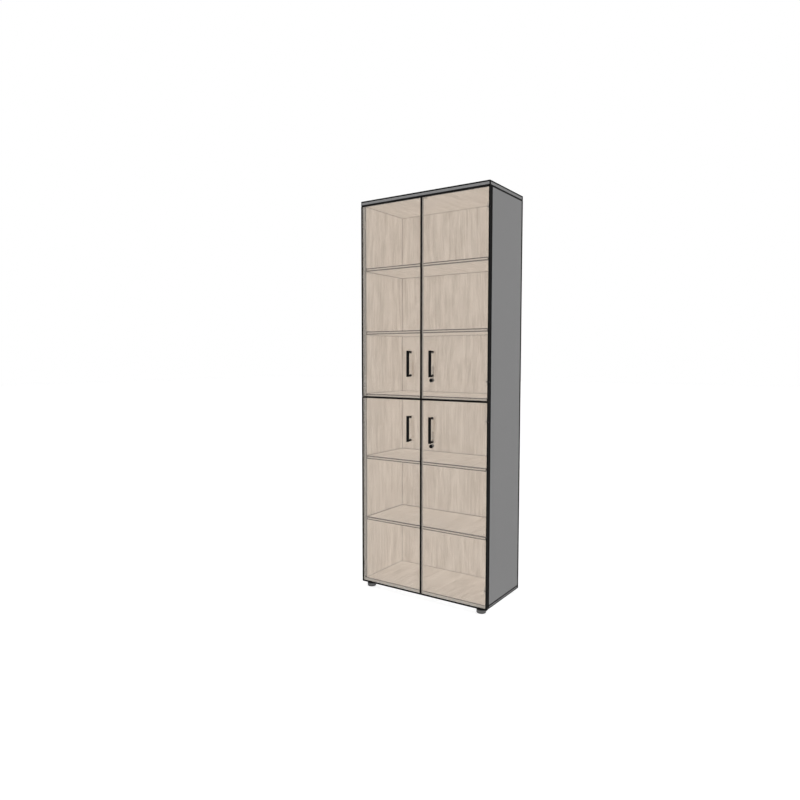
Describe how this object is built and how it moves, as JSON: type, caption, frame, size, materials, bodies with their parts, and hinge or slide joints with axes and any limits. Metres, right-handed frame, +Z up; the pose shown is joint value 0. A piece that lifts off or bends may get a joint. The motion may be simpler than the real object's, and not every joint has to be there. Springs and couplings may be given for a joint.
{
  "type": "office cupboard",
  "caption": "Tall office cupboard with clear glass double doors above and below, loose shelves on pins, bar handles, cylinder locks and round levelling feet.",
  "frame": {"origin": "on the floor, under the centre of the bounding box", "axes": "+Z up; the doors face -Y; +X is to the right of someone who faces the doors"},
  "size_m": [0.8, 0.429, 2.196],
  "materials": {
    "grey_board": "matt grey laminate",
    "oak_board": "pale oak laminate, upright grain",
    "door_glass": "clear safety glass",
    "grey_frame": "grey powder coat",
    "black_metal": "satin black",
    "bright_steel": "zinc plated",
    "pale_plastic": "moulded, matt",
    "foot_plastic": "moulded, matt grey"
  },
  "bodies": {
    "carcass": {"top_panel": "grey_board", "bottom_panel": "grey_board", "side_panel_left": "grey_board", "side_panel_right": "grey_board", "middle_shelf": "oak_board", "back_panel": "oak_board", "shelf_1": "oak_board", "shelf_2": "oak_board", "shelf_3": "oak_board", "shelf_4": "oak_board", "shelf_1_pin_left_front": "bright_steel", "shelf_1_pin_left_rear": "bright_steel", "shelf_1_pin_right_front": "bright_steel", "shelf_1_pin_right_rear": "bright_steel", "shelf_2_pin_left_front": "bright_steel", "shelf_2_pin_left_rear": "bright_steel", "shelf_2_pin_right_front": "bright_steel", "shelf_2_pin_right_rear": "bright_steel", "shelf_3_pin_left_front": "bright_steel", "shelf_3_pin_left_rear": "bright_steel", "shelf_3_pin_right_front": "bright_steel", "shelf_3_pin_right_rear": "bright_steel", "shelf_4_pin_left_front": "bright_steel", "shelf_4_pin_left_rear": "bright_steel", "shelf_4_pin_right_front": "bright_steel", "shelf_4_pin_right_rear": "bright_steel", "upper_left_bottom_hinge_bracket": "bright_steel", "upper_left_top_hinge_bracket": "bright_steel", "upper_right_bottom_hinge_bracket": "bright_steel", "upper_right_top_hinge_bracket": "bright_steel", "lower_left_bottom_hinge_bracket": "bright_steel", "lower_left_top_hinge_bracket": "bright_steel", "lower_right_bottom_hinge_bracket": "bright_steel", "lower_right_top_hinge_bracket": "bright_steel", "upper_magnet_catch": "pale_plastic", "lower_magnet_catch": "pale_plastic"},
    "upper_left_door": {"upper_left_door_glass": "door_glass", "upper_left_door_frame": "grey_frame", "upper_left_door_handle": "black_metal"},
    "upper_right_door": {"upper_right_door_glass": "door_glass", "upper_right_door_frame": "grey_frame", "upper_right_door_handle": "black_metal", "upper_lock_housing": "black_metal"},
    "lower_left_door": {"lower_left_door_glass": "door_glass", "lower_left_door_frame": "grey_frame", "lower_left_door_handle": "black_metal"},
    "lower_right_door": {"lower_right_door_glass": "door_glass", "lower_right_door_frame": "grey_frame", "lower_right_door_handle": "black_metal", "lower_lock_housing": "black_metal"},
    "upper_lock": {"upper_lock_barrel": "black_metal", "upper_lock_cam": "bright_steel"},
    "lower_lock": {"lower_lock_barrel": "black_metal", "lower_lock_cam": "bright_steel"},
    "foot_front_left": {"foot_front_left": "foot_plastic"},
    "foot_front_right": {"foot_front_right": "foot_plastic"},
    "foot_rear_left": {"foot_rear_left": "foot_plastic"},
    "foot_rear_right": {"foot_rear_right": "foot_plastic"}
  },
  "joints": [
    {"name": "upper_left_door_hinge", "type": "hinge", "parent": "carcass", "child": "upper_left_door", "pos_m": [-0.3915, -0.1735, 1.6355], "axis": [0, 0, -1], "range_deg": [0, 105]},
    {"name": "upper_right_door_hinge", "type": "hinge", "parent": "carcass", "child": "upper_right_door", "pos_m": [0.3915, -0.1735, 1.6355], "axis": [0, 0, 1], "range_deg": [0, 105]},
    {"name": "lower_left_door_hinge", "type": "hinge", "parent": "carcass", "child": "lower_left_door", "pos_m": [-0.3915, -0.1735, 0.5635], "axis": [0, 0, -1], "range_deg": [0, 105]},
    {"name": "lower_right_door_hinge", "type": "hinge", "parent": "carcass", "child": "lower_right_door", "pos_m": [0.3915, -0.1735, 0.5635], "axis": [0, 0, 1], "range_deg": [0, 105]},
    {"name": "upper_lock_turn", "type": "hinge", "parent": "upper_right_door", "child": "upper_lock", "pos_m": [0.0635, -0.1835, 1.203], "axis": [0, -1, 0], "range_deg": [0, 90]},
    {"name": "lower_lock_turn", "type": "hinge", "parent": "lower_right_door", "child": "lower_lock", "pos_m": [0.0635, -0.1835, 0.8505], "axis": [0, -1, 0], "range_deg": [0, 90]},
    {"name": "foot_front_left_level", "type": "slide", "parent": "carcass", "child": "foot_front_left", "axis": [0, 0, -1], "range_m": [0, 0.01]},
    {"name": "foot_front_right_level", "type": "slide", "parent": "carcass", "child": "foot_front_right", "axis": [0, 0, -1], "range_m": [0, 0.01]},
    {"name": "foot_rear_left_level", "type": "slide", "parent": "carcass", "child": "foot_rear_left", "axis": [0, 0, -1], "range_m": [0, 0.01]},
    {"name": "foot_rear_right_level", "type": "slide", "parent": "carcass", "child": "foot_rear_right", "axis": [0, 0, -1], "range_m": [0, 0.01]}
  ]
}
